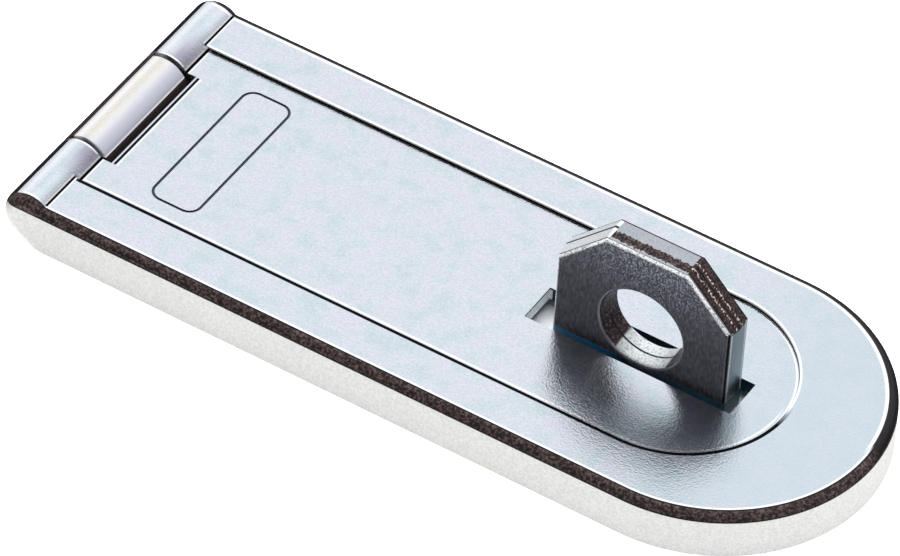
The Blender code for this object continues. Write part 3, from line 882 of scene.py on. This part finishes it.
# The plate under the hinge, with the tongue that climbs from it and rolls over the pin.
def buildBasePlate(d):
    outer = hinge.x - baseLow.x
    inner = outer - d["thickness"]
    half = d["knuckleWidth"] / 2
    plateHalf = baseHigh.y
    start = hinge.x + outer + d["setback"]
    middle = hinge.z - (outer + inner) / 2
    bpy.ops.object.select_all(action="DESELECT")
    bpy.ops.mesh.primitive_plane_add(size=1.0, location=(hinge.x, 0, middle), rotation=(0, pi / 2, 0))
    roll = bpy.context.object
    roll.name = "base_plate_rolled"
    roll.scale = (d["thickness"], 2 * half, 1)
    bpy.ops.object.transform_apply(location=True, rotation=True, scale=True)
    bpy.ops.object.mode_set(mode="EDIT")
    bpy.ops.mesh.select_all(action="SELECT")
    bpy.ops.mesh.spin(steps=96, angle=radians(d["rollTurn"]), center=(hinge.x, 0, hinge.z), axis=(0, 1, 0))
    pick(roll, "FACE", lambda c, n: abs(c.x - hinge.x) < close and c.z < hinge.z)
    climb = (d["rampRun"], 0, outer - hinge.z)
    bpy.ops.mesh.extrude_region_move(TRANSFORM_OT_translate={"value": climb})
    run = start + 2 * mm - hinge.x - d["rampRun"]
    bpy.ops.mesh.extrude_region_move(TRANSFORM_OT_translate={"value": (run, 0, 0)})
    closeUp(roll)

    def onSide(a, b):
        flat = abs(a.y - b.y) < close and min(abs(a.y), abs(b.y)) > half - close
        return flat and max(a.x, b.x) < start

    roundOff(roll, d["edge"], 3, onSide)
    plate = newBox("plate", (start, -plateHalf, 0.0), (baseHigh.x, plateHalf, d["thickness"]))
    roundOff(plate, d["plateCorner"], 4, lambda a, b: abs(a.z - b.z) > mm)
    roundOff(plate, d["plateEdge"], 2, lambda a, b: min(a.z, b.z) > d["thickness"] - close)
    for place in (start + d["screwInset"], baseHigh.x - d["screwInset"]):
        for side in (-1, 1):
            hole = newScrewHole(d, place, side * (plateHalf - d["screwFromSide"]))
            combine(plate, "DIFFERENCE", hole)
    combine(roll, "UNION", plate)
    print("base plate rolled")
    return roll


def newScrewHole(d, x, y):
    flare = (d["screwHead"] - d["screwHole"]) / 2
    low, high = d["thickness"] - flare, d["thickness"] + mm
    bpy.ops.object.select_all(action="DESELECT")
    bpy.ops.mesh.primitive_cone_add(
        vertices=64, radius1=d["screwHole"] / 2, radius2=d["screwHead"] / 2 + mm,
        depth=high - low, location=(x, y, (low + high) / 2),
    )
    cone = bpy.context.object
    bpy.ops.object.transform_apply(location=True, rotation=True, scale=True)
    pick(cone, "FACE", lambda c, n: n.z < -0.9)
    bpy.ops.mesh.extrude_region_move(TRANSFORM_OT_translate={"value": (0, 0, -mm - low)})
    bpy.ops.object.mode_set(mode="OBJECT")
    return cone


plainZinc = {
    "clouds": ((0.36, "#E3E1DA"), (0.5, "#E6E3DA"), (0.64, "#DDDFE3")),
    "cloud": 5.0,
    "grain": 0.3,
    "stretch": (1, 1, 1),
    "shade": 0.9,
    "roughness": (0.26, 0.34),
    "metallic": 1.0,
    "bump": (0.15, 0.02),
}
# The plate under the round end is painted paler as light, and is matt and less metallic, because it shows
# through the slot.
plateZinc = {
    **plainZinc,
    "clouds": ((0.36, "#DEE4E6"), (0.5, "#E4E8EA"), (0.64, "#E5E6EA")),
    "roughness": (0.35, 0.45),
    "metallic": 0.35,
}


# Plain zinc plate, satin and nearly even, as on parts that nobody sees or touches.
def makePlainZinc(name, f):
    material, tree, shader, place = newMaterial(name)
    layZinc(tree, shader, place, f, [])
    return material


strapZinc = {
    **plainZinc,
    # painted light and shade: a bluer flank, a pale back, a dark back line, the notch edge's white line and
    # the dark inside the notch
    "flank": ("#B9BCC8", 0.4, 0.3),
    "flankSpan": (1.9, 4.0, 1.8),  # spans from the hinge
    "pale": ("#DEDEDC", 0.6, 0.3),
    "paleSpan": (-1.9, -1.1, 0.8),
    "backLine": ("#30272A", 0.4, 0.4),
    "backLineSpan": (-4.0, -1.9, 0.12),
    "notchSpan": (1.6, 4.3, 0.1),
    "notchTop": 1.95 * mm,  # above the hinge, where the dark inside the notch ends
    "notchEdge": ("#FFFFFF", 0.4, 0.3),
    "notchEdgeHeight": (0.0, 0.2, 0.06),
    "notchDark": ("#30272A", 0.2, 0.5),
    "notchDarkHeight": (-4.45, 0.0, 0.05),
}


# The rolled strap's zinc plate, warm on top, with painted shade that turns its flank bluer and darkens it
# inside the notch, a painted highlight and a dark line on its back, and a painted highlight on the notch's
# edge.
def makeStrapZinc(f):
    material, tree, shader, place = newMaterial("warm zinc plate")
    spot = addNode(tree, "SeparateXYZ", {"Vector": place})
    x, z = spot.outputs["X"], spot.outputs["Z"]
    raised = addNode(tree, "Math", {0: z, 1: hinge.z + mm}, operation="GREATER_THAN")
    notchSide = stripe(tree, x, hinge.x, f["notchSpan"])
    notchTop = hinge.z + f["notchTop"]
    layers = [
        ([stripe(tree, x, hinge.x, f["flankSpan"]), raised], f["flank"]),
        ([stripe(tree, x, hinge.x, f["paleSpan"]), raised], f["pale"]),
        ([stripe(tree, x, hinge.x, f["backLineSpan"]), raised], f["backLine"]),
        ([notchSide, stripe(tree, z, notchTop, f["notchEdgeHeight"])], f["notchEdge"]),
        ([notchSide, stripe(tree, z, notchTop, f["notchDarkHeight"])], f["notchDark"]),
    ]
    layZinc(tree, shader, place, f, layers)
    return material


# Each light is its colour, its strength and where it fades in, from a first to a second value of the
# ray's height or of how far it points behind or to the front.
studio = {
    "dark": "#4A464C",
    "behind": (-0.5, 0.86, 0.0),
    "front": (-0.35, -0.62, 0.7),
    "lights": {
        "soft box": (
            "#FBFDFF", 0.67, (("height", 0.95, 0.92), ("height", 0.08, 0.28), ("behind", 0.12, 0.5)),
        ),
        "its upper edge": (
            "#FFFFFF", 0.3, (("height", 0.95, 0.92), ("height", 0.76, 0.82), ("behind", 0.12, 0.4)),
        ),
        "overhead": ("#FFFFFF", 0.75, (("height", 0.94, 0.985),)),
        "near side": ("#F4F1F2", 0.45, (("height", 0.05, 0.3), ("front", 0.93, 0.76))),
        "table": ("#FFFAF0", 1.12, (("height", -0.5, -0.66),)),
    },
}


# A soft box behind, a dark horizon, a pale table below and weak light from the near side.
def addWorld(d):
    world = bpy.data.worlds.new("studio")
    bpy.context.scene.world = world
    world.use_nodes = True
    tree = world.node_tree
    tree.nodes.clear()
    ray = addNode(tree, "TexCoord").outputs["Generated"]
    values = {"height": addNode(tree, "SeparateXYZ", {"Vector": ray}).outputs["Z"]}
    for name in ("behind", "front"):
        facing = addNode(tree, "VectorMath", {0: ray, 1: d[name]}, operation="DOT_PRODUCT")
        values[name] = facing.outputs["Value"]
    light = linear(d["dark"])[:3]
    for code, amount, fades in d["lights"].values():
        for name, low, high in fades:
            fade = addNode(
                tree, "MapRange", {"Value": values[name], "From Min": low, "From Max": high},
                interpolation_type="SMOOTHSTEP",
            )
            amount = addNode(tree, "Math", {0: fade, 1: amount}, operation="MULTIPLY")
        glow = addNode(tree, "VectorMath", {0: linear(code)[:3], "Scale": amount}, operation="SCALE")
        light = addNode(tree, "VectorMath", {0: glow, 1: light}, operation="ADD")
    background = addNode(tree, "Background", {"Color": light})
    addNode(tree, "OutputWorld", {"Surface": background})


lamp = {"size": 1.6, "energy": 30.0, "place": (-0.2, 0.3, 1.3)}


# A wide disk that whitens the floor and shades the object softly.
def addLamp(d):
    data = bpy.data.lights.new("floor light", "AREA")
    data.shape = "DISK"
    data.size = d["size"]
    data.energy = d["energy"]
    light = bpy.data.objects.new("floor light", data)
    bpy.context.scene.collection.objects.link(light)
    light.location = d["place"]
    light.rotation_euler = (-light.location).to_track_quat("-Z", "Y").to_euler()
    light.visible_glossy = False


paper = {"size": 3.0, "color": "#FAFAFA", "glow": "#FFFFFF", "strength": 0.7}


# Matt white paper, faintly lit from behind as on a light table, so that shadows stay pale.
def addFloor(d):
    bpy.ops.object.select_all(action="DESELECT")
    bpy.ops.mesh.primitive_plane_add(size=d["size"], location=(0, 0, 0))
    floor = bpy.context.object
    floor.name = "floor"
    material, tree, shader = newMaterial("white paper")[:3]
    feed(tree, shader, {
        "Base Color": linear(d["color"]),
        "Roughness": 1.0,
        "Specular IOR Level": 0.0,
        "Emission Color": linear(d["glow"]),
        "Emission Strength": d["strength"],
    })
    floor.data.materials.append(material)
    floor.visible_glossy = False


view = {
    "azimuth": 29.54,
    "elevation": 44.51,
    "roll": 3.78,
    "distance": 1083.1 * mm,
    "target": (-6.44 * mm, 3.21 * mm, 0.0),
    "focalPixels": 8169.3,
    "frameWidth": 900,
    "sensor": 36.0,
    "clip": (0.05, 20.0),
}


def addCamera(d):
    azimuth, elevation, roll = radians(d["azimuth"]), radians(d["elevation"]), radians(d["roll"])
    back = Vector((sin(azimuth) * cos(elevation), -cos(azimuth) * cos(elevation), sin(elevation)))
    flatRight = Vector((cos(azimuth), sin(azimuth), 0))
    flatUp = back.cross(flatRight)
    right = cos(roll) * flatRight + sin(roll) * flatUp
    up = -sin(roll) * flatRight + cos(roll) * flatUp
    data = bpy.data.cameras.new("photo camera")
    camera = bpy.data.objects.new("photo camera", data)
    bpy.context.scene.collection.objects.link(camera)
    place = Vector(d["target"]) + back * d["distance"]
    turned = Matrix((right, up, back)).transposed().to_4x4()
    camera.matrix_world = Matrix.Translation(place) @ turned
    data.sensor_width = d["sensor"]
    data.lens = d["focalPixels"] / d["frameWidth"] * data.sensor_width
    data.clip_start, data.clip_end = d["clip"]
    bpy.context.scene.camera = camera


def dress(piece, node, body, finish):
    finishSurface(piece)
    piece.data.materials.clear()
    piece.data.materials.append(finish)
    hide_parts(node)
    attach(piece, body)
    print(piece.name, len(piece.data.polygons), "faces")


dress(buildLeaf(leaf), "hasp_leaf", "leaf", makeLeafZinc(leafZinc, leaf))
dress(buildStaple(staple), "staple", "base", makeStapleZinc(stapleZinc, staple))
dress(buildBasePlate(basePlate), "base_plate", "base", makeStrapZinc(strapZinc))
for name, finish in (
    ("staple_plate", makePlainZinc("matt zinc plate", plateZinc)),
    ("hinge_pin", makePlainZinc("plain zinc plate", plainZinc)),
):
    frame["nodes"][name].data.materials.clear()
    frame["nodes"][name].data.materials.append(finish)
print("pieces dressed")

addFloor(paper)
addCamera(view)
addWorld(studio)
addLamp(lamp)
bpy.context.scene.view_settings.view_transform = "Standard"
print("studio lit")
